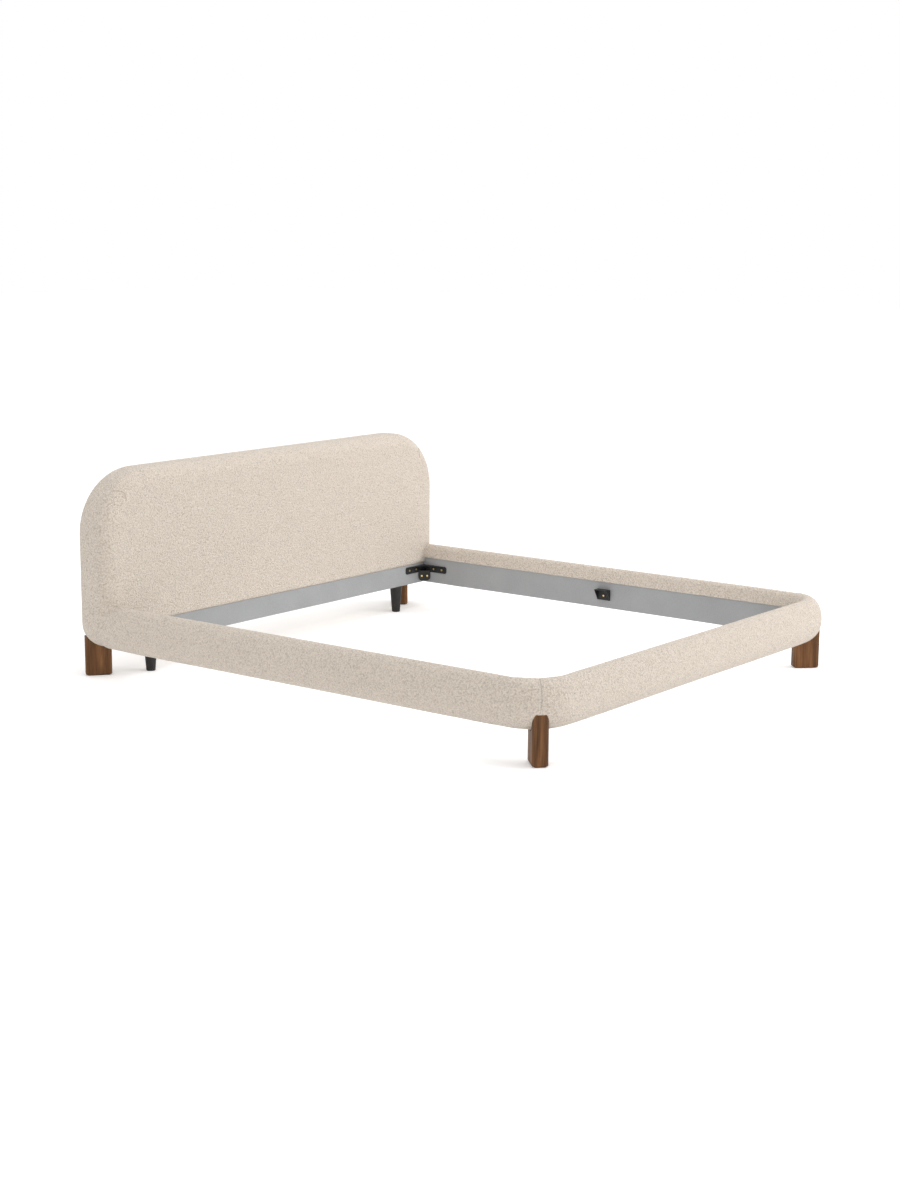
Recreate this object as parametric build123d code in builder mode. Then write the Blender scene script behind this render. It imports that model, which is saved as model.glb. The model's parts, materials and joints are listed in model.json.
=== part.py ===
"""Upholstered bed frame for a king mattress, 1930 x 2032 mm.

A padded roll runs along both sides and round the foot, and meets a padded
headboard.  Inside the padding are timber boards and a timber headboard frame,
held together by steel angle brackets.  Four slab legs stand on the corner
diagonals and two tapered feet carry the middle load of the headboard.

Frame: +Z up from the floor, +Y towards the headboard, X across the bed, with
the origin on the floor under the middle of the bed.  Millimetres.
"""
from build123d import *
import math
import os

# ---------------------------------------------------------------- dimensions
opening_width = 1955        # between the padded rolls
opening_length = 2060       # foot roll to headboard face
roll_depth = 86             # padded roll, inside face to outside face
roll_bottom = 120           # underside of the padding above the floor
roll_top = 305
headboard_top = 846
headboard_depth = 205

outer_corner_radius = 184   # roll, seen from above
inner_corner_radius = 103
roll_crown_radius = 56      # outer top edge of the roll
roll_belly_radius = 82      # outer bottom edge of the roll
roll_lip_radius = 28        # inner top edge of the roll
edge_slack = 1              # when edges are picked by their position
headboard_shoulder_radius = 266
headboard_heel_radius = 98
headboard_front_radius = 64
headboard_back_radius = 94

cover_thickness = 3
lining_thickness = 2
lining_setback = 6          # the roll overhangs the lining by this much
lining_top = 239
headboard_lining_top = 216
board_thickness = 25
board_chamfer = 20          # outer bottom edge, under the padding
board_bottom = 123
board_top = 262

timber = 45                 # headboard frame stock, 45 x 95
timber_depth = 95
panel_thickness = 9
back_panel_thickness = 4
frame_margin = 58           # headboard padding outside the timber frame
inner_stile_x = 320

leg_length = 108            # along the corner diagonal
leg_width = 59
leg_corner_radius = 14
leg_bottom_chamfer = 3
leg_top = 190
leg_clearance = 0.5
head_leg_top = 160
shoulder_reach = 24         # the tongue starts this far out from the leg's centre
glide_height = 3
glide_margin = 8
foot_leg_setback = 94.5     # leg centre in from both outer faces
head_leg_setback_x = 80
head_leg_setback_y = 61     # from the back of the headboard
foot_leg_angle = 45         # from the X axis
head_leg_angle = 40
support_foot_x = 801
support_foot_setback = 29   # behind the headboard's face
support_foot_top_radius = 29
support_foot_bottom_radius = 19
support_foot_fillet = 3

corner_block_side = 130
corner_block_height = 40
bracket_sheet = 3
bracket_arm = 138
bracket_bottom = 173
bracket_top = 206
bracket_web = 26            # reach of the horizontal web across the corner
bracket_end_radius = 10
hood_width = 55
hood_bottom = 132
hood_top = 180
hood_reach = 34             # out from the corner along the diagonal
hood_corner_radius = 16
hood_screw_z = 155
hood_screw_spread = 13      # each side of the diagonal
mid_bracket_width = 67
mid_bracket_bottom = 158
mid_bracket_top = 207
mid_bracket_shelf = 32
mid_screw_z = 178
screw_shank_radius = 2
screw_hole_radius = 2.3
screw_head_radius = 4.5
screw_head_height = 2.6
screw_head_fillet = 0.6
screw_length = 18
socket_screw_length = 44
screw_spots = (63, 112)     # along each bracket arm, from the corner

# ------------------------------------------------------------ derived places
half_width = opening_width / 2 + roll_depth
half_length = (roll_depth + opening_length + headboard_depth) / 2
inner_x = opening_width / 2
foot_y = -half_length + roll_depth          # inside face of the foot roll
head_y = half_length - headboard_depth      # front face of the headboard
middle_y = (foot_y + head_y) / 2
lining_x = inner_x + lining_setback
lining_foot_y = foot_y - lining_setback
lining_head_y = head_y + lining_setback
board_x = lining_x + lining_thickness       # inside face of a side board
board_foot_y = lining_foot_y - lining_thickness
board_head_y = lining_head_y + lining_thickness
frame_front_y = board_head_y + board_thickness
frame_timber_y = frame_front_y + panel_thickness
frame_back_y = frame_timber_y + timber_depth
frame_x = half_width - frame_margin
frame_top = headboard_top - frame_margin
frame_shoulder = headboard_shoulder_radius - frame_margin
foot_leg_x = half_width - foot_leg_setback
foot_leg_y = -(half_length - foot_leg_setback)
head_leg_x = half_width - head_leg_setback_x
head_leg_y = half_length - head_leg_setback_y
support_foot_y = head_y + support_foot_setback
stile_x = frame_x - timber               # inside faces of the outer stiles
sides = {"left": -1, "right": 1}

os.makedirs("parts", exist_ok=True)


def save(builder, name):
    """Label a finished piece and write its STEP file."""
    builder.part.label = name
    export_step(builder.part, f"parts/{name}.step")


def box(x_range, y_range, z_range, mode=Mode.ADD):
    """Add or cut a box given by its low and high corner in each direction."""
    (x0, x1), (y0, y1), (z0, z1) = x_range, y_range, z_range
    with Locations(((x0 + x1) / 2, (y0 + y1) / 2, (z0 + z1) / 2)):
        Box(abs(x1 - x0), abs(y1 - y0), abs(z1 - z0), mode=mode)


# ------------------------------------------------------ padded outline solids
def roll_solid(inset):
    """The U-shaped padded roll, shrunk on its outside by inset."""
    outer = half_width - inset
    foot = -half_length + inset
    end = head_y + headboard_front_radius
    inside = inner_x + inset
    inside_foot = foot_y - inset
    with BuildPart() as roll:
        with BuildSketch(Plane.XY.offset(roll_bottom + inset)):
            with BuildLine():
                Polyline((-outer, end), (-outer, foot), (outer, foot), (outer, end),
                         (inside, end), (inside, inside_foot), (-inside, inside_foot),
                         (-inside, end), (-outer, end))
            make_face()
            corners = vertices().sort_by(Axis.Y)
            fillet(corners[0:2], outer_corner_radius - inset)
            fillet(vertices().filter_by_position(Axis.Y, inside_foot, inside_foot),
                   inner_corner_radius + inset)
        extrude(amount=roll_top - roll_bottom - 2 * inset)

        def inner_rim(face):
            """Edges of a flat face round the opening, without the roll's ends."""
            return face.edges().filter_by(
                lambda edge: abs(edge.center().X) < inside + edge_slack
                and inside_foot - edge_slack < edge.center().Y < end - edge_slack)

        def outer_rim(face):
            """Edges of a flat face round the outside, without the roll's ends."""
            edges = face.edges().filter_by(lambda edge: edge.center().Y < end - edge_slack)
            return edges - inner_rim(face)

        fillet(outer_rim(roll.faces().sort_by(Axis.Z)[-1]), roll_crown_radius - inset)
        fillet(inner_rim(roll.faces().sort_by(Axis.Z)[-1]), roll_lip_radius - inset)
        fillet(outer_rim(roll.faces().sort_by(Axis.Z)[0]), roll_belly_radius - inset)
    return roll.part


def slab_outline(outer, low, high, shoulder, heel):
    """Upright outline with large top corners and smaller bottom corners."""
    with Locations((0, (low + high) / 2)):
        Rectangle(2 * outer, high - low)
    fillet(vertices().group_by(Axis.Y)[-1], shoulder)
    if heel:
        fillet(vertices().group_by(Axis.Y)[0], heel)


def headboard_solid(inset):
    """The padded headboard with rounded edges, shrunk all round by inset."""
    with BuildPart() as slab:
        with BuildSketch(Plane.XZ.offset(-(half_length - inset))):
            slab_outline(half_width - inset, roll_bottom + inset, headboard_top - inset,
                         headboard_shoulder_radius - inset, headboard_heel_radius - inset)
        extrude(amount=headboard_depth - 2 * inset)
        fillet(slab.edges().group_by(Axis.Y)[0], headboard_front_radius - inset)
        fillet(slab.edges().group_by(Axis.Y)[-1], headboard_back_radius - inset)
    return slab.part


def leg_prism(center_x, center_y, angle, bottom, top, clearance=0.0):
    """Rounded slab standing at an angle, the outline of a leg."""
    plane = Plane((center_x, center_y, bottom), x_dir=(math.cos(angle), math.sin(angle), 0),
                  z_dir=(0, 0, 1))
    with BuildPart() as prism:
        with BuildSketch(plane):
            RectangleRounded(leg_length + 2 * clearance, leg_width + 2 * clearance,
                             leg_corner_radius + clearance)
        extrude(amount=top - bottom)
    return prism.part


def leg_places():
    """Name, centre, direction of the outward diagonal and top of every leg."""
    foot_angle = math.radians(foot_leg_angle)
    head_angle = math.radians(head_leg_angle)
    for side, sign in sides.items():
        facing = 0 if sign > 0 else math.pi
        yield (f"leg_foot_{side}", sign * foot_leg_x, foot_leg_y,
               facing - sign * foot_angle, leg_top)
        yield (f"leg_head_{side}", sign * head_leg_x, head_leg_y,
               facing + sign * head_angle, head_leg_top)


def tongue_slot(sign):
    """Strip cleared outside a foot leg's shoulder, where its tongue rises."""
    outward = Vector(sign, -1, 0).normalized()
    shoulder = Vector(sign * foot_leg_x, foot_leg_y, 0) + outward * (shoulder_reach - leg_clearance)
    with BuildPart() as slot:
        with BuildSketch(Plane(shoulder, x_dir=outward, z_dir=(0, 0, 1))):
            with Locations((leg_length, 0)):
                Rectangle(2 * leg_length, leg_width + 2 * leg_clearance)
        extrude(amount=board_top)
    return slot.part


leg_slots = [leg_prism(x, y, angle, 0, top + leg_clearance, clearance=leg_clearance)
             for _, x, y, angle, top in leg_places()]
tongue_slots = [tongue_slot(sign) for sign in sides.values()]
headboard_shape = headboard_solid(0)
headboard_core = headboard_solid(cover_thickness)
roll_shape = roll_solid(0)
roll_core = roll_solid(cover_thickness)


# ------------------------------------------------------------------ side rails
def cut_frame_zone(top):
    """Clear the space of the boards, linings and bottom rail below a height."""
    reach = board_x + board_thickness
    box((-reach, reach), (board_foot_y - board_thickness, frame_front_y), (0, top), Mode.SUBTRACT)
    box((-stile_x, stile_x), (0, frame_front_y + timber), (0, top), Mode.SUBTRACT)


def cut(solids):
    """Subtract solids from the part being built."""
    for solid in solids:
        add(solid, mode=Mode.SUBTRACT)


def mitre_plane(sign):
    """Plane through the opening's foot corner, facing the side rail."""
    diagonal = Vector(sign, 1, 0).normalized()
    return Plane((sign * inner_x, foot_y, 0), z_dir=diagonal)


def roll_piece(name, source, side, frame_top_z):
    """One run of the roll: a side, or the foot when side is None."""
    with BuildPart() as piece:
        add(source)
        if side is None:
            for sign in sides.values():
                split(bisect_by=mitre_plane(sign), keep=Keep.BOTTOM)
        else:
            split(bisect_by=mitre_plane(sides[side]), keep=Keep.TOP)
            split(bisect_by=Plane.YZ, keep=Keep.TOP if side == "right" else Keep.BOTTOM)
        add(headboard_shape, mode=Mode.SUBTRACT)
        cut_frame_zone(frame_top_z)
        cut(leg_slots)
    save(piece, name)


with BuildPart() as roll_skin:
    add(roll_shape)
    add(roll_core, mode=Mode.SUBTRACT)

for run in (None, "left", "right"):
    stem = "foot_rail" if run is None else f"side_rail_{run}"
    roll_piece(f"{stem}_foam", roll_core, run, board_top)
    roll_piece(f"{stem}_cover", roll_skin.part, run, lining_top)

for side, sign in sides.items():
    with BuildPart() as side_board:
        box((sign * board_x, sign * (board_x + board_thickness)),
            (board_foot_y - board_thickness, frame_front_y), (board_bottom, board_top))
        lowest = side_board.edges().filter_by(Axis.Y).group_by(Axis.Z)[0]
        chamfer(lowest.sort_by(lambda edge: abs(edge.center().X))[-1], board_chamfer)
        cut(tongue_slots)
    save(side_board, f"side_rail_{side}_board")

    with BuildPart() as side_lining:
        box((sign * lining_x, sign * board_x), (lining_foot_y, lining_head_y),
            (board_bottom, lining_top))
    save(side_lining, f"side_rail_{side}_lining")

with BuildPart() as foot_board:
    box((-board_x, board_x), (board_foot_y - board_thickness, board_foot_y),
        (board_bottom, board_top))
    chamfer(foot_board.edges().filter_by(Axis.X).group_by(Axis.Z)[0].sort_by(Axis.Y)[0],
            board_chamfer)
    cut(tongue_slots)
save(foot_board, "foot_rail_board")

with BuildPart() as foot_lining:
    box((-board_x, board_x), (board_foot_y, lining_foot_y), (board_bottom, lining_top))
save(foot_lining, "foot_rail_lining")

for side, sign in sides.items():
    with BuildPart() as block:
        with BuildSketch(Plane.XY.offset(board_bottom)):
            with BuildLine():
                Polyline((sign * lining_x, lining_foot_y),
                         (sign * lining_x, lining_foot_y + corner_block_side),
                         (sign * (lining_x - corner_block_side), lining_foot_y), close=True)
            make_face()
        extrude(amount=corner_block_height)
    save(block, f"foot_corner_block_{side}")

# ------------------------------------------------------------------- headboard
with BuildPart() as ledger:
    box((-board_x, board_x), (board_head_y, frame_front_y), (board_bottom, board_top))
save(ledger, "headboard_ledger")

with BuildPart() as ledger_lining:
    box((-board_x, board_x), (lining_head_y, board_head_y), (board_bottom, headboard_lining_top))
save(ledger_lining, "headboard_lining")

with BuildPart() as bottom_rail:
    box((-stile_x, stile_x), (frame_front_y, frame_front_y + timber), (board_bottom, board_top))
save(bottom_rail, "headboard_bottom_rail")

shoulder_z = frame_top - frame_shoulder
for side, sign in sides.items():
    with BuildPart() as stile:
        box((sign * stile_x, sign * frame_x), (frame_timber_y, frame_back_y),
            (head_leg_top, shoulder_z))
    save(stile, f"headboard_stile_{side}")

    with BuildPart() as former:
        with BuildSketch(Plane.XZ.offset(-frame_back_y)):
            with Locations((sign * (frame_x - frame_shoulder), shoulder_z)):
                Circle(frame_shoulder)
                Circle(frame_shoulder - timber, mode=Mode.SUBTRACT)
            with Locations((sign * (frame_x - frame_shoulder / 2), shoulder_z + frame_shoulder / 2)):
                Rectangle(frame_shoulder, frame_shoulder, mode=Mode.INTERSECT)
        extrude(amount=timber_depth)
    save(former, f"headboard_corner_former_{side}")

    with BuildPart() as inner_stile:
        box((sign * inner_stile_x, sign * (inner_stile_x + timber)),
            (frame_timber_y, frame_back_y), (board_top, frame_top - timber))
    save(inner_stile, f"headboard_inner_stile_{side}")

with BuildPart() as top_rail:
    box((-(frame_x - frame_shoulder), frame_x - frame_shoulder), (frame_timber_y, frame_back_y),
        (frame_top - timber, frame_top))
save(top_rail, "headboard_top_rail")

for name, back_y, thickness, low in (
        ("headboard_front_panel", frame_timber_y, panel_thickness, board_top),
        ("headboard_back_panel", frame_back_y + back_panel_thickness, back_panel_thickness,
         head_leg_top)):
    with BuildPart() as panel:
        with BuildSketch(Plane.XZ.offset(-back_y)):
            slab_outline(frame_x, low, frame_top, frame_shoulder, 0)
        extrude(amount=thickness)
    save(panel, name)

with BuildPart() as frame_space:
    with BuildSketch(Plane.XZ.offset(-(frame_back_y + back_panel_thickness))):
        slab_outline(frame_x, head_leg_top, frame_top, frame_shoulder, 0)
    extrude(amount=panel_thickness + timber_depth + back_panel_thickness)

with BuildPart() as headboard_foam:
    add(headboard_core)
    cut_frame_zone(board_top)
    cut([frame_space.part] + leg_slots)
save(headboard_foam, "headboard_foam")

back_seam_y = half_length - headboard_back_radius / 2
for name, keep in (("headboard_cover_front", Keep.BOTTOM), ("headboard_cover_back", Keep.TOP)):
    with BuildPart() as cover:
        add(headboard_shape)
        add(headboard_core, mode=Mode.SUBTRACT)
        cut_frame_zone(headboard_lining_top)
        for sign in sides.values():
            box((sign * lining_x, sign * (board_x + board_thickness)), (0, frame_front_y),
                (0, board_top), Mode.SUBTRACT)
        cut(leg_slots)
        split(bisect_by=Plane((0, back_seam_y, 0), z_dir=(0, 1, 0)), keep=keep)
    save(cover, name)

# ------------------------------------------------------------------------ legs
for name, x, y, angle, top in leg_places():
    footprint = Plane((x, y, 0), x_dir=(math.cos(angle), math.sin(angle), 0), z_dir=(0, 0, 1))
    with BuildPart() as leg:
        add(leg_prism(x, y, angle, glide_height, top))
        chamfer(leg.faces().sort_by(Axis.Z)[0].edges(), leg_bottom_chamfer)
        if "foot" in name:
            # the frame's corner sits on this shoulder, the tongue rises outside it
            with BuildSketch(footprint.offset(board_bottom)):
                with Locations((shoulder_reach - leg_length, 0)):
                    Rectangle(2 * leg_length, 2 * leg_width)
            extrude(amount=leg_top, mode=Mode.SUBTRACT)
    save(leg, name)

    with BuildPart() as glide:
        with BuildSketch(footprint):
            RectangleRounded(leg_length - 2 * glide_margin, leg_width - 2 * glide_margin,
                             leg_corner_radius - glide_margin / 2)
        extrude(amount=glide_height)
    save(glide, name.replace("leg", "glide"))

for side, sign in sides.items():
    with BuildPart() as support_foot:
        for height, radius in ((0, support_foot_bottom_radius),
                               (board_bottom, support_foot_top_radius)):
            with BuildSketch(Plane.XY.offset(height)):
                with Locations((sign * support_foot_x, support_foot_y)):
                    Circle(radius)
        loft()
        fillet(support_foot.faces().sort_by(Axis.Z)[0].edges(), support_foot_fillet)
    save(support_foot, f"support_foot_{side}")


# -------------------------------------------------------------- steel brackets
def screw(plane, length):
    """A pan-head screw with its head on a plane and its shank behind it."""
    with BuildPart() as fastener:
        with BuildSketch(plane):
            Circle(screw_head_radius)
        extrude(amount=screw_head_height)
        fillet(fastener.edges().filter_by(GeomType.CIRCLE), screw_head_fillet)
        with BuildSketch(plane):
            Circle(screw_shank_radius)
        extrude(amount=-length)
    return fastener.part


def corner_copy(piece, side, end):
    """Mirror a piece made in the right head corner to another corner."""
    if side == "left":
        piece = piece.mirror(Plane.YZ)
    if end == "foot":
        piece = piece.mirror(Plane.XZ.offset(-middle_y))
    return piece


bracket_z = (bracket_bottom, bracket_top)
bracket_middle = sum(bracket_z) / 2
side_screw_planes = [Plane((lining_x - bracket_sheet, lining_head_y - spot, bracket_middle),
                           z_dir=(-1, 0, 0)) for spot in screw_spots]
end_screw_planes = [Plane((lining_x - spot, lining_head_y - bracket_sheet, bracket_middle),
                          z_dir=(0, -1, 0)) for spot in screw_spots]
bracket_screw_planes = side_screw_planes + end_screw_planes

with BuildPart() as corner_bracket:
    box((lining_x - bracket_sheet, lining_x), (lining_head_y - bracket_arm, lining_head_y),
        bracket_z)
    fillet(corner_bracket.edges().filter_by(Axis.X).group_by(Axis.Y)[0], bracket_end_radius)
    box((lining_x - bracket_arm, lining_x), (lining_head_y - bracket_sheet, lining_head_y),
        bracket_z)
    fillet(corner_bracket.edges().filter_by(Axis.Y).group_by(Axis.X)[0], bracket_end_radius)
    web_tip = bracket_arm - 2 * bracket_end_radius
    with BuildSketch(Plane.XY.offset(bracket_top - bracket_sheet)):
        with BuildLine():
            Polyline((lining_x, lining_head_y), (lining_x - web_tip, lining_head_y),
                     (lining_x - bracket_web, lining_head_y - bracket_web),
                     (lining_x, lining_head_y - web_tip), close=True)
        make_face()
    extrude(amount=bracket_sheet)
    with Locations(bracket_screw_planes):
        Hole(screw_hole_radius, depth=2 * bracket_sheet)

inward = Vector(-1, -1, 0).normalized()
socket_face = Vector(lining_x, lining_head_y, 0) + inward * hood_reach
socket_screw_planes = [
    Plane((socket_face.X + across / math.sqrt(2), socket_face.Y - across / math.sqrt(2),
           hood_screw_z), z_dir=inward) for across in (-hood_screw_spread, hood_screw_spread)]

with BuildPart() as corner_socket:
    with BuildSketch(Plane((socket_face.X, socket_face.Y, (hood_bottom + hood_top) / 2),
                           x_dir=(-1, 1, 0), z_dir=inward)):
        Rectangle(hood_width, hood_top - hood_bottom)
        fillet(vertices().group_by(Axis.Y)[-1], hood_corner_radius)
    extrude(amount=-hood_reach)
    box((lining_x, lining_x + hood_width), (lining_head_y - hood_width, lining_head_y + hood_width),
        (0, bracket_top), Mode.SUBTRACT)
    box((lining_x - hood_width, lining_x + hood_width), (lining_head_y, lining_head_y + hood_width),
        (0, bracket_top), Mode.SUBTRACT)
    cut([corner_bracket.part])
    with Locations(socket_screw_planes):
        Hole(screw_hole_radius, depth=2 * hood_reach)

bracket_screw_set = [screw(plane, screw_length) for plane in bracket_screw_planes]
socket_screw_set = [screw(plane, socket_screw_length) for plane in socket_screw_planes]
places = [(side, end) for side in sides for end in ("head", "foot")]
for side, end in places:
    with BuildPart() as bracket:
        add(corner_copy(corner_bracket.part, side, end))
    save(bracket, f"corner_bracket_{end}_{side}")

for side in sides:
    with BuildPart() as socket:
        add(corner_copy(corner_socket.part, side, "head"))
    save(socket, f"corner_socket_{side}")

with BuildPart() as corner_bracket_screws:
    for side, end in places:
        for fastener in bracket_screw_set:
            add(corner_copy(fastener, side, end))
save(corner_bracket_screws, "corner_bracket_screws")

with BuildPart() as corner_socket_screws:
    for side in sides:
        for fastener in socket_screw_set:
            add(corner_copy(fastener, side, "head"))
save(corner_socket_screws, "corner_socket_screws")

mid_y = (middle_y - mid_bracket_width / 2, middle_y + mid_bracket_width / 2)
mid_z = (mid_bracket_bottom, mid_bracket_top)
mid_screw_plane = Plane((lining_x - bracket_sheet, middle_y, mid_screw_z), z_dir=(-1, 0, 0))
with BuildPart() as mid_bracket:
    box((lining_x - bracket_sheet, lining_x), mid_y, mid_z)
    box((lining_x - mid_bracket_shelf, lining_x), mid_y, (mid_bracket_top - bracket_sheet,
                                                          mid_bracket_top))
    for gusset_y in mid_y[0], mid_y[1] - bracket_sheet:
        with BuildSketch(Plane.XZ.offset(-gusset_y)):
            with BuildLine():
                Polyline((lining_x, mid_bracket_bottom), (lining_x, mid_bracket_top),
                         (lining_x - mid_bracket_shelf, mid_bracket_top),
                         (lining_x - bracket_sheet, mid_bracket_bottom), close=True)
            make_face()
        extrude(amount=-bracket_sheet)
    with Locations(mid_screw_plane):
        Hole(screw_hole_radius, depth=2 * bracket_sheet)

mid_screw = screw(mid_screw_plane, screw_length)
for side in sides:
    with BuildPart() as bracket:
        add(corner_copy(mid_bracket.part, side, "head"))
    save(bracket, f"mid_bracket_{side}")

with BuildPart() as mid_bracket_screws:
    for side in sides:
        add(corner_copy(mid_screw, side, "head"))
save(mid_bracket_screws, "mid_bracket_screws")
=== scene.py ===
"""Upholstered bed frame: padded covers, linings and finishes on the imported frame."""

import json
import math

import bpy
import bmesh
from mathutils import Matrix, Vector


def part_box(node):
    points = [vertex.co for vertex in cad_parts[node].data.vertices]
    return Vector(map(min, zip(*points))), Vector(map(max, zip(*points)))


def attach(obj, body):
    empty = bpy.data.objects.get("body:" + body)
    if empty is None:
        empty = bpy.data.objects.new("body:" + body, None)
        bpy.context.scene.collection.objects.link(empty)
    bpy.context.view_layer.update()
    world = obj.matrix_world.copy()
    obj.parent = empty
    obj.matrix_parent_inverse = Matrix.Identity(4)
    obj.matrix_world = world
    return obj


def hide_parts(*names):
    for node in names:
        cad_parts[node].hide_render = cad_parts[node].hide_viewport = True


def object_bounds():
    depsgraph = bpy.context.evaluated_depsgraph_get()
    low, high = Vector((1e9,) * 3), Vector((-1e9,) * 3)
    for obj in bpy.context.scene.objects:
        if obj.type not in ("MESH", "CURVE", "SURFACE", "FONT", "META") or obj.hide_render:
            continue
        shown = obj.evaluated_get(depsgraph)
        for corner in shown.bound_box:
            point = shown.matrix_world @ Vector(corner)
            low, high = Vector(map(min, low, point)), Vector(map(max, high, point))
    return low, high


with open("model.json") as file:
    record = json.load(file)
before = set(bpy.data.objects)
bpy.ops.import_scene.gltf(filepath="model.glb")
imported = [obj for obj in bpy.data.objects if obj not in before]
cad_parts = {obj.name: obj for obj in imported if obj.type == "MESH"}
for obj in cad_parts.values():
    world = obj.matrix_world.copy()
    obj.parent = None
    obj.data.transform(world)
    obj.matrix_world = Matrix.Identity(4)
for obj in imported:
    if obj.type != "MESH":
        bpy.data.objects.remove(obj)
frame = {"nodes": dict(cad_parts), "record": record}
cad_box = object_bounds()

# ------------------------------------------------------------ sizes (metres)
HALF_WIDTH = cad_box[1][0]
HALF_LENGTH = cad_box[1][1]
HEIGHT = cad_box[1][2]
LINING_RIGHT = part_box("side_rail_right_lining")
LINING_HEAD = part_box("headboard_lining")
LINING_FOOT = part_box("foot_rail_lining")

LINING_SETBACK = 0.006      # the covers overhang the linings by this much
INNER_X = LINING_RIGHT[0][0] - LINING_SETBACK
HEAD_Y = LINING_HEAD[0][1] - LINING_SETBACK
FOOT_Y = LINING_FOOT[1][1] + LINING_SETBACK
LINING_TOP = LINING_RIGHT[1][2]
HEAD_LINING_TOP = LINING_HEAD[1][2]
ROLL_DEPTH = HALF_WIDTH - INNER_X
ROLL_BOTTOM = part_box("side_rail_right_cover")[0][2]
ROLL_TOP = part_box("side_rail_right_cover")[1][2]

OUTER_CORNER = 0.184        # plan radii of the roll's foot corners
INNER_CORNER = 0.103
LIP = 0.028                 # inner top edge of the roll
CROWN_HEIGHT = 0.090        # outer rounding of the roll above its widest part
BELLY_HEIGHT = 0.088        # and below it
ROLL_TUCK_IN = 0.055        # how far a side roll runs into the headboard
SHOULDER = 0.266            # top corners of the headboard's outline
HEEL = 0.098                # bottom corners of it
FRONT_ROUND = 0.064         # edge rounding of the headboard
BACK_ROUND = 0.094

TUCK_DEPTH = 0.0035         # how far a cover's hidden edge lies behind the lining
LINING_GAP = 0.001          # from a lining's top edge up to the cloth
FOLD_RADIUS = 0.005         # the roll cover's turn over the lining
BASE_LIFT = 0.0006          # keeps the roll cover's last point above its base
HIDDEN_DEPTH = 2 * LINING_SETBACK   # the part of the roll's profile beside the lining
HIDDEN_RISE = 0.004         # the roll cover is held up to here above the lining
HEAD_FOLD = 0.0035          # rows this far each side of the headboard cover's fold

SKIN_STEP = 0.014           # spacing of the roll covers' mesh
CORNER_STEPS = 9            # sections in half a foot corner
FACE_END_STEPS = 10         # rows over a rounded edge of the headboard
FACE_STEPS = 30             # rows up its flat face
LOW_FACE_STEPS = 3          # rows below the fold
RIDGE_STEPS = 4             # rows across its top and bottom
WIDTH_END_STEPS = 12        # sections over a side of the headboard
WIDTH_STEPS = 130           # sections across it

SEAM_PINCH = 0.0010         # how far a seam pulls the cloth in
SEAM_ROWS = 6               # rows of the mesh that a seam and its leg hold in place
CLOTH_PRESSURE = 20
CLOTH_CAP = 0.003           # the most that a cover may swell
CLOTH_FRAMES = 14
DART_START = 0.004          # a dart's first stitch, in from the outline
DART_LENGTH = 0.058
DART_SWAY = 5               # degrees that a dart bows off the diagonal
# size of the dark dart lines that paint the shade of the sunken stitching
DART_LINE_RADIUS = 0.0011
DART_LINE_SIDES = 6
DART_STEPS = 12

CAMERA_AZIMUTH = math.radians(-52.3)
CAMERA_PITCH = math.radians(11.0)
CAMERA_ROLL = math.radians(0.3)
CAMERA_DISTANCE = 8.253
CAMERA_LENS = 60.3
CAMERA_AIM = Vector((0, (HEAD_Y + FOOT_Y) / 2, 0.300))
AIM_RIGHT = -0.091          # framing shifts of the aim, across and up the view
AIM_UP = 0.0056
LIGHT_AIM = (0, 0, 0.3)
FLOOR_REACH = 30


# ------------------------------------------------------------- shader helpers
def new_material(name):
    """A node material with its nodes, links and main shader."""
    material = bpy.data.materials.new(name)
    material.use_nodes = True
    nodes, links = material.node_tree.nodes, material.node_tree.links
    return material, nodes, links, nodes["Principled BSDF"]


def coordinates(nodes, links, scale=(1, 1, 1)):
    """Object coordinates, stretched along the axes, as an output socket."""
    source = nodes.new("ShaderNodeTexCoord")
    mapping = nodes.new("ShaderNodeMapping")
    mapping.inputs["Scale"].default_value = scale
    links.new(source.outputs["Object"], mapping.inputs["Vector"])
    return mapping.outputs["Vector"]


def noise(nodes, links, vector, scale, detail=4, roughness=0.5, distortion=0.0):
    """A noise texture's value socket."""
    texture = nodes.new("ShaderNodeTexNoise")
    texture.inputs["Scale"].default_value = scale
    texture.inputs["Detail"].default_value = detail
    texture.inputs["Roughness"].default_value = roughness
    texture.inputs["Distortion"].default_value = distortion
    links.new(vector, texture.inputs["Vector"])
    return texture.outputs["Fac"]


def cells(nodes, links, vector, scale, randomness=1.0):
    """A smooth cell texture's distance socket."""
    texture = nodes.new("ShaderNodeTexVoronoi")
    texture.feature = "SMOOTH_F1"
    texture.inputs["Scale"].default_value = scale
    texture.inputs["Randomness"].default_value = randomness
    links.new(vector, texture.inputs["Vector"])
    return texture.outputs["Distance"]


def ramp(nodes, links, value, stops):
    """A colour ramp with (position, (r, g, b)) stops, as its colour socket."""
    node = nodes.new("ShaderNodeValToRGB")
    elements = node.color_ramp.elements
    while len(elements) < len(stops):
        elements.new(0.5)
    for element, (position, colour) in zip(elements, stops):
        element.position = position
        element.color = (*colour, 1)
    links.new(value, node.inputs["Fac"])
    return node.outputs["Color"]


def mix_colours(nodes, links, first, second, factor, blend="MULTIPLY"):
    """Blend two colour sockets by a plain factor."""
    node = nodes.new("ShaderNodeMix")
    node.data_type = "RGBA"
    node.blend_type = blend
    node.inputs["Factor"].default_value = factor
    links.new(first, node.inputs["A"])
    links.new(second, node.inputs["B"])
    return node.outputs["Result"]


def add_values(nodes, links, first, second, weight):
    """first + second * weight, as a value socket."""
    node = nodes.new("ShaderNodeMath")
    node.operation = "MULTIPLY_ADD"
    node.inputs[1].default_value = weight
    links.new(second, node.inputs[0])
    links.new(first, node.inputs[2])
    return node.outputs["Value"]


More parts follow.
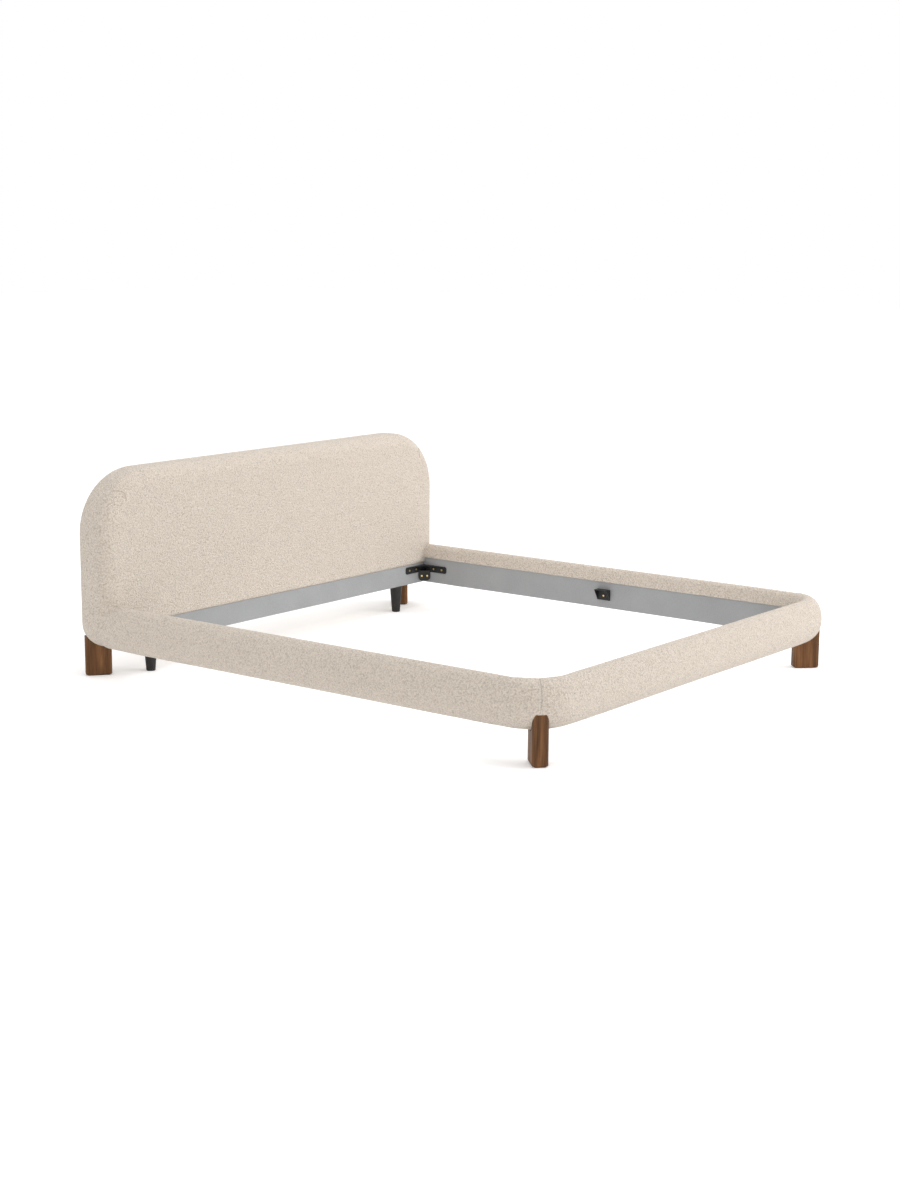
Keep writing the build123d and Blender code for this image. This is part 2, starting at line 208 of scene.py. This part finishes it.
def bump(nodes, links, height, shader, strength, distance):
    """Drive a shader's normal with a height socket."""
    node = nodes.new("ShaderNodeBump")
    node.inputs["Strength"].default_value = strength
    node.inputs["Distance"].default_value = distance
    links.new(height, node.inputs["Height"])
    links.new(node.outputs["Normal"], shader.inputs["Normal"])


# ------------------------------------------------------------------ materials
def boucle():
    """Looped beige upholstery cloth, with painted shade between its loops."""
    material, nodes, links, shader = new_material("boucle")
    vector = coordinates(nodes, links)
    loops = cells(nodes, links, vector, 190)
    curls = noise(nodes, links, vector, 420, detail=3, roughness=0.7, distortion=1.2)
    patches = noise(nodes, links, vector, 26, detail=4, roughness=0.65)
    # loops and curls are coloured lighter where the bump below raises them and darker where it sinks:
    # painted shade between the loops; the patches are random tone
    loop_colour_with_gap_shade = ramp(nodes, links, loops,
                       [(0.15, (0.885, 0.79, 0.69)), (0.8, (0.54, 0.465, 0.395))])
    curl_colour_with_gap_shade = ramp(nodes, links, curls,
                       [(0.3, (0.76, 0.735, 0.70)), (0.65, (1.0, 1.0, 1.0))])
    patch_colour = ramp(nodes, links, patches,
                        [(0.3, (0.97, 0.965, 0.96)), (0.7, (1, 1, 1))])
    colour = mix_colours(nodes, links, loop_colour_with_gap_shade, curl_colour_with_gap_shade, 0.8)
    colour = mix_colours(nodes, links, colour, patch_colour, 1.0)
    links.new(colour, shader.inputs["Base Color"])
    shader.inputs["Roughness"].default_value = 0.95
    shader.inputs["Specular IOR Level"].default_value = 0.15
    shader.inputs["Sheen Weight"].default_value = 0.25
    shader.inputs["Sheen Roughness"].default_value = 0.6
    invert = nodes.new("ShaderNodeMath")
    invert.operation = "SUBTRACT"
    invert.inputs[0].default_value = 1.0
    links.new(loops, invert.inputs[1])
    height = add_values(nodes, links, invert.outputs["Value"], curls, 0.6)
    bump(nodes, links, height, shader, 0.9, 0.008)
    return material


def lining():
    """Grey non-woven lining with matted fibres."""
    material, nodes, links, shader = new_material("lining")
    vector = coordinates(nodes, links)
    fibres = noise(nodes, links, vector, 320, detail=5, roughness=0.7)
    clouds = noise(nodes, links, vector, 7, detail=3)
    fibre_colour = ramp(nodes, links, fibres,
                        [(0.3, (0.28, 0.285, 0.29)), (0.7, (0.35, 0.352, 0.355))])
    cloud_colour = ramp(nodes, links, clouds,
                        [(0.3, (0.93, 0.93, 0.93)), (0.7, (1, 1, 1))])
    colour = mix_colours(nodes, links, fibre_colour, cloud_colour, 1.0)
    links.new(colour, shader.inputs["Base Color"])
    shader.inputs["Roughness"].default_value = 0.9
    shader.inputs["Specular IOR Level"].default_value = 0.2
    shader.inputs["Sheen Weight"].default_value = 0.1
    bump(nodes, links, fibres, shader, 0.35, 0.0008)
    return material


def wood(name, dark, middle, light, roughness):
    """Timber with upright grain: long streaks, fine pores and soft figure."""
    material, nodes, links, shader = new_material(name)
    figure = noise(nodes, links, coordinates(nodes, links, (9, 9, 0.8)), 3.0,
                   detail=5, distortion=1.2)
    streaks = noise(nodes, links, coordinates(nodes, links, (60, 60, 2.0)), 3.5,
                    detail=6, roughness=0.65)
    pores = noise(nodes, links, coordinates(nodes, links, (260, 260, 9)), 4.0,
                  detail=3, roughness=0.8)
    figure_colour = ramp(nodes, links, figure,
                         [(0.3, dark), (0.52, middle), (0.72, light)])
    streak_colour = ramp(nodes, links, streaks,
                         [(0.3, (0.45, 0.41, 0.38)), (0.62, (1.05, 1.05, 1.05))])
    pore_colour = ramp(nodes, links, pores,
                       [(0.35, (0.55, 0.5, 0.46)), (0.5, (1, 1, 1))])
    colour = mix_colours(nodes, links, figure_colour, streak_colour, 0.8)
    colour = mix_colours(nodes, links, colour, pore_colour, 0.6)
    links.new(colour, shader.inputs["Base Color"])
    shader.inputs["Roughness"].default_value = roughness
    shader.inputs["Specular IOR Level"].default_value = 0.22
    shader.inputs["Coat Weight"].default_value = 0.03
    shader.inputs["Coat Roughness"].default_value = 0.4
    bump(nodes, links, add_values(nodes, links, streaks, pores, 0.5), shader, 0.2, 0.0006)
    return material


def black_finish(name, shade, roughness, grain_scale, strength):
    """Black powder coat or moulded plastic with a fine grain."""
    material, nodes, links, shader = new_material(name)
    grain = noise(nodes, links, coordinates(nodes, links), grain_scale, detail=3, roughness=0.6)
    scuffs = noise(nodes, links, coordinates(nodes, links), 40, detail=4)
    dim = tuple(0.75 * value for value in shade)
    links.new(ramp(nodes, links, scuffs, [(0.35, dim), (0.7, shade)]), shader.inputs["Base Color"])
    rough = nodes.new("ShaderNodeMapRange")
    rough.inputs["To Min"].default_value = roughness - 0.06
    rough.inputs["To Max"].default_value = roughness + 0.08
    links.new(scuffs, rough.inputs["Value"])
    links.new(rough.outputs["Result"], shader.inputs["Roughness"])
    shader.inputs["Specular IOR Level"].default_value = 0.25
    bump(nodes, links, grain, shader, strength, 0.0004)
    return material


def brass():
    """Yellow-passivated screw heads with turning marks."""
    material, nodes, links, shader = new_material("brass")
    marks = noise(nodes, links, coordinates(nodes, links), 900, detail=3)
    links.new(ramp(nodes, links, marks, [(0.3, (0.62, 0.43, 0.15)), (0.7, (0.86, 0.66, 0.30))]),
              shader.inputs["Base Color"])
    shader.inputs["Metallic"].default_value = 1.0
    shader.inputs["Roughness"].default_value = 0.32
    bump(nodes, links, marks, shader, 0.2, 0.0003)
    return material


def foam():
    """Open-cell upholstery foam, hidden under the covers."""
    material, nodes, links, shader = new_material("foam")
    pores = cells(nodes, links, coordinates(nodes, links), 700)
    links.new(ramp(nodes, links, pores, [(0.2, (0.62, 0.56, 0.36)), (0.7, (0.85, 0.80, 0.62))]),
              shader.inputs["Base Color"])
    shader.inputs["Roughness"].default_value = 0.95
    bump(nodes, links, pores, shader, 0.5, 0.001)
    return material


def dart_shade_line():
    """Painted shade in a dart's sunken stitching: a dark line in the colour of the cloth's shadows.
    """
    material, nodes, links, shader = new_material("dart_shade_line")
    twist = noise(nodes, links, coordinates(nodes, links), 600, detail=2)
    links.new(ramp(nodes, links, twist, [(0.3, (0.30, 0.235, 0.175)), (0.7, (0.44, 0.36, 0.28))]),
              shader.inputs["Base Color"])
    shader.inputs["Roughness"].default_value = 0.9
    bump(nodes, links, twist, shader, 0.4, 0.0005)
    return material


boucle_cloth = boucle()
dart_shade_material = dart_shade_line()
grey_lining = lining()
walnut = wood("walnut", (0.075, 0.030, 0.008), (0.150, 0.064, 0.020), (0.24, 0.110, 0.040), 0.55)
pine = wood("pine", (0.42, 0.27, 0.14), (0.58, 0.41, 0.23), (0.70, 0.53, 0.33), 0.7)
ply = wood("ply", (0.45, 0.31, 0.18), (0.60, 0.44, 0.27), (0.72, 0.56, 0.37), 0.7)
black_steel = black_finish("black_steel", (0.022, 0.022, 0.023), 0.42, 1500, 0.25)
black_plastic = black_finish("black_plastic", (0.026, 0.024, 0.022), 0.55, 700, 0.3)
screw_brass = brass()
hidden_foam = foam()
finishes = {
    "boucle_cover": boucle_cloth, "grey_lining": grey_lining, "foam": hidden_foam,
    "frame_timber": pine, "plywood": ply, "walnut_leg": walnut, "black_steel": black_steel,
    "black_plastic": black_plastic, "brass_screw": screw_brass,
}

for subpart in frame["record"]["subparts"]:
    node = frame["nodes"][subpart["node"]]
    node.data.materials.clear()
    node.data.materials.append(finishes[subpart["material_slot"]])


# --------------------------------------------------------------- mesh helpers
def arc(centre, wide, high, start, end, steps):
    """Points along an elliptical arc in a profile plane, angles in degrees."""
    points = []
    for step in range(steps + 1):
        angle = math.radians(start + (end - start) * step / steps)
        points.append((centre[0] + wide * math.cos(angle), centre[1] + high * math.sin(angle)))
    return points


def run(start, end, spacing):
    """Points inside a straight stretch, without its two ends."""
    count = max(1, round(math.dist(start, end) / spacing))
    return [(start[0] + (end[0] - start[0]) * step / count,
             start[1] + (end[1] - start[1]) * step / count) for step in range(1, count)]


def loft(name, stations):
    """Quads between equal closed profiles, with a face at each end."""
    count = len(stations[0])
    mesh = bpy.data.meshes.new(name)
    points = [point for station in stations for point in station]
    faces = []
    for row in range(len(stations) - 1):
        for column in range(count):
            after = (column + 1) % count
            faces.append((row * count + column, row * count + after,
                          (row + 1) * count + after, (row + 1) * count + column))
    faces.append(tuple(range(count - 1, -1, -1)))
    faces.append(tuple((len(stations) - 1) * count + column for column in range(count)))
    mesh.from_pydata(points, [], faces)
    piece = bpy.data.objects.new(name, mesh)
    bpy.context.scene.collection.objects.link(piece)
    bm = bmesh.new()
    bm.from_mesh(mesh)
    bmesh.ops.recalc_face_normals(bm, faces=bm.faces)
    # creased rims keep their place when the piece is subdivided
    crease = bm.edges.layers.float.new("crease_edge")
    for face in bm.faces:
        if len(face.verts) == count:
            for edge in face.edges:
                edge[crease] = 1.0
    bm.to_mesh(mesh)
    bm.free()
    mesh.shade_smooth()
    return piece


def settle(piece, pinned):
    """Let a cover swell as cloth under pressure, then keep a capped result."""
    before = [vertex.co.copy() for vertex in piece.data.vertices]
    group = piece.vertex_groups.new(name="pin")
    group.add(pinned, 1.0, "REPLACE")
    cloth = piece.modifiers.new("cloth", "CLOTH")
    settings = cloth.settings
    settings.quality = 5
    settings.mass = 0.4
    settings.tension_stiffness = 15
    settings.compression_stiffness = 5
    settings.bending_stiffness = 0.05
    settings.use_pressure = True
    settings.uniform_pressure_force = CLOTH_PRESSURE
    settings.vertex_group_mass = "pin"
    settings.effector_weights.gravity = 0
    cloth.point_cache.frame_start = 1
    cloth.point_cache.frame_end = CLOTH_FRAMES
    scene = bpy.context.scene
    for number in range(1, CLOTH_FRAMES + 1):
        scene.frame_set(number)
    view = piece.evaluated_get(bpy.context.evaluated_depsgraph_get())
    after = [vertex.co.copy() for vertex in view.data.vertices]
    piece.modifiers.clear()
    piece.vertex_groups.clear()
    for vertex, start, end in zip(piece.data.vertices, before, after):
        shift = end - start
        if shift.length > CLOTH_CAP:
            shift *= CLOTH_CAP / shift.length
        vertex.co = start + shift
    scene.frame_set(1)


def finish_cover(piece, nodes):
    smooth = piece.modifiers.new("subdivision", "SUBSURF")
    smooth.levels = smooth.render_levels = 1
    piece.data.materials.append(boucle_cloth)
    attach(piece, "root")
    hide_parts(*nodes)


# ------------------------------------------------------------- roll's covers
def roll_profile():
    """Closed profile of the roll: (out from its inside face, height)."""
    tuck = LINING_SETBACK + TUCK_DEPTH
    under = LINING_TOP + LINING_GAP
    crown_base = ROLL_TOP - CROWN_HEIGHT
    belly_top = ROLL_BOTTOM + BELLY_HEIGHT
    points = [(tuck, under)]
    points += arc((FOLD_RADIUS, under + FOLD_RADIUS), FOLD_RADIUS, FOLD_RADIUS, 250, 180, 3)
    points += run((0, under + FOLD_RADIUS), (0, ROLL_TOP - LIP), SKIN_STEP)
    points += arc((LIP, ROLL_TOP - LIP), LIP, LIP, 180, 90, 5)
    points += arc((LIP, crown_base), ROLL_DEPTH - LIP, CROWN_HEIGHT, 80, 0, 9)
    points += arc((tuck, belly_top), ROLL_DEPTH - tuck, BELLY_HEIGHT, 0, -84, 11)
    points += [(tuck, ROLL_BOTTOM + BASE_LIFT)]
    points += run((tuck, ROLL_BOTTOM), (tuck, under), 2 * SKIN_STEP)
    return points


def half_corner(start):
    """Sections over 45 degrees of the right foot corner, from a start angle."""
    circles = ((INNER_X - INNER_CORNER, FOOT_Y + INNER_CORNER, INNER_CORNER),
               (HALF_WIDTH - OUTER_CORNER, -HALF_LENGTH + OUTER_CORNER, OUTER_CORNER))
    pairs = []
    for step in range(CORNER_STEPS + 1):
        angle = math.radians(start - 45 * step / CORNER_STEPS)
        pairs.append([(x + radius * math.cos(angle), y + radius * math.sin(angle))
                      for x, y, radius in circles])
    return pairs


def flipped(pairs):
    """The same sections on the other side of the bed."""
    return [((-inner[0], inner[1]), (-outer[0], outer[1])) for inner, outer in pairs]


def roll_stations(side):
    """Inside point and outside point, in plan, of each section of one run."""
    if side == "foot":
        corner = half_corner(-45)
        right_end = corner[-1][0]
        straight = [((x, FOOT_Y), (x, -HALF_LENGTH))
                    for x, _ in run(right_end, (-right_end[0], right_end[1]), SKIN_STEP)]
        return corner + straight + flipped(reversed(corner))
    corner = half_corner(0)
    head_end = HEAD_Y + ROLL_TUCK_IN
    straight = [((INNER_X, y), (HALF_WIDTH, y))
                for _, y in run((0, head_end), (0, corner[0][0][1]), SKIN_STEP)]
    pairs = [((INNER_X, head_end), (HALF_WIDTH, head_end))] + straight + corner
    return flipped(pairs) if side == "left" else pairs


def roll_cover(side):
    """One run of the padded roll, drawn in at its seams and swollen between."""
    profile = roll_profile()
    middle = (ROLL_DEPTH / 2, (ROLL_BOTTOM + ROLL_TOP) / 2)
    pairs = roll_stations(side)
    seams = [0, len(pairs) - 1] if side == "foot" else [len(pairs) - 1]
    stations = []
    for index, (inner, outer) in enumerate(pairs):
        width = math.dist(inner, outer)
        reach = min(abs(index - seam) for seam in seams)
        pinch = SEAM_PINCH if reach == 0 else 0
        station = []
        for across, height in profile:
            offset = math.dist((across, height), middle)
            across += (middle[0] - across) * pinch / offset
            height += (middle[1] - height) * pinch / offset
            # beside the lining the distance from the inside face stays true at corners
            share = across / (ROLL_DEPTH if across > HIDDEN_DEPTH else width)
            station.append((inner[0] + (outer[0] - inner[0]) * share,
                            inner[1] + (outer[1] - inner[1]) * share, height))
        stations.append(station)
    piece = loft(f"roll_cover_{side}", stations)
    count = len(profile)
    hidden = [column for column, (across, height) in enumerate(profile)
              if across < HIDDEN_DEPTH and height < LINING_TOP + HIDDEN_RISE]
    pinned = [row * count + column for row in range(len(pairs)) for column in hidden]
    held = [row for row in range(len(pairs))
            if min(abs(row - seam) for seam in seams) <= SEAM_ROWS]
    if side != "foot":
        held.append(0)
    for row in held:
        pinned += [row * count + column for column in range(count)]
    settle(piece, sorted(set(pinned)))
    return piece


# ------------------------------------------------------------ headboard cover
def outline_top(x):
    """Height of the headboard's outline above a place across the bed."""
    over = abs(x) - (HALF_WIDTH - SHOULDER)
    if over <= 0:
        return HEIGHT
    return HEIGHT - SHOULDER + math.sqrt(max(0, SHOULDER ** 2 - over ** 2))


def outline_bottom(x):
    """Height of the bottom of the headboard's outline."""
    over = abs(x) - (HALF_WIDTH - HEEL)
    if over <= 0:
        return ROLL_BOTTOM
    return ROLL_BOTTOM + HEEL - math.sqrt(max(0, HEEL ** 2 - over ** 2))


def edge_distance(x, z):
    """How far a point of the headboard's outline plane is inside the outline."""
    over_x, over_z = abs(x) - (HALF_WIDTH - SHOULDER), z - (HEIGHT - SHOULDER)
    if over_x > 0 and over_z > 0:
        return max(0, SHOULDER - math.hypot(over_x, over_z))
    under_x, under_z = abs(x) - (HALF_WIDTH - HEEL), ROLL_BOTTOM + HEEL - z
    if under_x > 0 and under_z > 0:
        return max(0, HEEL - math.hypot(under_x, under_z))
    return max(0, min(HALF_WIDTH - abs(x), HEIGHT - z, z - ROLL_BOTTOM))


def rounding(distance, radius):
    """How far the face falls back at a distance inside the outline."""
    missing = max(0, radius - distance)
    return radius - math.sqrt(radius ** 2 - missing ** 2)


def rounded_ends(radius, steps):
    """Distances in from an edge that follow its rounding evenly."""
    return [radius * (1 - math.cos(math.radians(90 * step / steps))) for step in range(steps)]


def spread(low, high, radius, end_steps, middle_steps):
    """Places from low to high, close together over a rounding at each end."""
    ends = rounded_ends(radius, end_steps)
    start, stop = low + radius, high - radius
    middle = [start + (stop - start) * step / middle_steps for step in range(middle_steps + 1)]
    return [low + end for end in ends] + middle + [high - end for end in reversed(ends)]


def face_heights(low, high, fold):
    """Heights up the front face, with close rows at the fold above the lining."""
    ends = rounded_ends(FRONT_ROUND, FACE_END_STEPS)
    start, stop = low + FRONT_ROUND, high - FRONT_ROUND
    below = [start + (fold - HEAD_FOLD - start) * step / LOW_FACE_STEPS
             for step in range(LOW_FACE_STEPS + 1)]
    above = [fold + HEAD_FOLD + (stop - fold - HEAD_FOLD) * step / FACE_STEPS
             for step in range(FACE_STEPS + 1)]
    return ([low + end for end in ends] + below + [fold] + above
            + [high - end for end in reversed(ends)])


def headboard_section(x):
    """Closed section of the headboard across the bed's length at one x."""
    low, high = outline_bottom(x), outline_top(x)
    fold = max(HEAD_LINING_TOP + LINING_GAP, low + FRONT_ROUND + 2 * HEAD_FOLD)
    tuck = HEAD_Y + LINING_SETBACK + TUCK_DEPTH
    points = []
    for z in face_heights(low, high, fold):
        y = HEAD_Y + rounding(edge_distance(x, z), FRONT_ROUND)
        if z <= fold and abs(x) < HALF_WIDTH - FRONT_ROUND:
            y = max(y, tuck)
        points.append((x, y, z))
    front_top, back_top = HEAD_Y + FRONT_ROUND, HALF_LENGTH - BACK_ROUND
    for step in range(1, RIDGE_STEPS):
        points.append((x, front_top + (back_top - front_top) * step / RIDGE_STEPS, high))
    for z in reversed(spread(low, high, BACK_ROUND, FACE_END_STEPS, FACE_STEPS)):
        points.append((x, HALF_LENGTH - rounding(edge_distance(x, z), BACK_ROUND), z))
    for step in range(1, RIDGE_STEPS):
        points.append((x, back_top + (front_top - back_top) * step / RIDGE_STEPS, low))
    return points


def headboard_cover():
    """The padded headboard, as sections from side to side."""
    xs = spread(-HALF_WIDTH, HALF_WIDTH, BACK_ROUND, WIDTH_END_STEPS, WIDTH_STEPS)
    return loft("headboard_cover", [headboard_section(x) for x in xs])


def dart_seam(name, sign):
    """Dark line of painted shade along the stitched dart that takes up the cloth round a top corner
    of the headboard.
    """
    diagonal = math.sqrt(0.5)
    across = Vector((sign * diagonal, 0, -diagonal))
    outward = Vector((0, -1, 0))
    turns = [2 * math.pi * k / DART_LINE_SIDES for k in range(DART_LINE_SIDES)]
    stations = []
    for step in range(DART_STEPS + 1):
        inside = DART_START + DART_LENGTH * step / DART_STEPS
        bend = math.radians(45 + DART_SWAY * math.sin(math.pi * step / DART_STEPS))
        out = SHOULDER - inside
        middle = Vector((sign * (HALF_WIDTH - SHOULDER + out * math.cos(bend)),
                         HEAD_Y + rounding(inside, FRONT_ROUND),
                         HEIGHT - SHOULDER + out * math.sin(bend)))
        stations.append([middle + (across * math.cos(turn) + outward * math.sin(turn)) * DART_LINE_RADIUS
                         for turn in turns])
    piece = loft(name, stations)
    piece.data.materials.append(dart_shade_material)
    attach(piece, "root")


for side, nodes in (("left", ("side_rail_left_cover", "side_rail_left_foam")),
                    ("right", ("side_rail_right_cover", "side_rail_right_foam")),
                    ("foot", ("foot_rail_cover", "foot_rail_foam"))):
    finish_cover(roll_cover(side), nodes)

finish_cover(headboard_cover(),
             ("headboard_cover_front", "headboard_cover_back", "headboard_foam"))
dart_seam("dart_seam_left", -1)
dart_seam("dart_seam_right", 1)


# --------------------------------------------------------------- floor, light
def add_floor():
    """A wide pale floor that glows faintly, so that shadows on it stay light."""
    mesh = bpy.data.meshes.new("floor")
    corners = [(x * FLOOR_REACH, y * FLOOR_REACH, 0) for x, y in ((-1, -1), (1, -1), (1, 1), (-1, 1))]
    mesh.from_pydata(corners, [], [(0, 1, 2, 3)])
    floor = bpy.data.objects.new("floor", mesh)
    bpy.context.scene.collection.objects.link(floor)
    material, nodes, links, shader = new_material("floor")
    speckle = noise(nodes, links, coordinates(nodes, links), 3, detail=3)
    links.new(ramp(nodes, links, speckle,
                   [(0.3, (0.96, 0.96, 0.96)), (0.7, (0.98, 0.98, 0.98))]),
              shader.inputs["Base Color"])
    shader.inputs["Roughness"].default_value = 0.9
    shader.inputs["Emission Color"].default_value = (1, 1, 1, 1)
    shader.inputs["Emission Strength"].default_value = 0.14
    mesh.materials.append(material)


def add_light(name, place, size, power):
    """A soft square lamp aimed at the bed."""
    lamp = bpy.data.lights.new(name, "AREA")
    lamp.shape = "SQUARE"
    lamp.size = size
    lamp.energy = power
    light = bpy.data.objects.new(name, lamp)
    light.location = place
    light.rotation_euler = (Vector(LIGHT_AIM) - Vector(place)).to_track_quat("-Z", "Y").to_euler()
    bpy.context.scene.collection.objects.link(light)


add_floor()
add_light("key", (3.5, -5.0, 4.5), size=4.0, power=230)
add_light("top", (-0.5, 0.5, 5.0), size=2.5, power=45)
world = bpy.data.worlds.new("studio")
world.use_nodes = True
world.node_tree.nodes["Background"].inputs["Color"].default_value = (1, 1, 1, 1)
world.node_tree.nodes["Background"].inputs["Strength"].default_value = 1.0
bpy.context.scene.world = world
bpy.context.scene.view_settings.view_transform = "Standard"


# --------------------------------------------------------------------- camera
def add_camera():
    """The camera, looking across the bed from its foot's left."""
    sine, cosine = math.sin(CAMERA_AZIMUTH), math.cos(CAMERA_AZIMUTH)
    back = Vector((sine * math.cos(CAMERA_PITCH), -cosine * math.cos(CAMERA_PITCH),
                   math.sin(CAMERA_PITCH)))
    level = Vector((cosine, sine, 0))
    upright = back.cross(level)
    right = level * math.cos(CAMERA_ROLL) + upright * math.sin(CAMERA_ROLL)
    up = back.cross(right)
    aim = CAMERA_AIM + right * AIM_RIGHT + up * AIM_UP
    place = aim + back * CAMERA_DISTANCE
    data = bpy.data.cameras.new("camera")
    data.lens = CAMERA_LENS
    data.sensor_width = 36
    data.clip_end = 100
    camera = bpy.data.objects.new("camera", data)
    turn = Matrix((right, up, back)).transposed()
    camera.matrix_world = Matrix.Translation(place) @ turn.to_4x4()
    bpy.context.scene.collection.objects.link(camera)
    bpy.context.scene.camera = camera


add_camera()
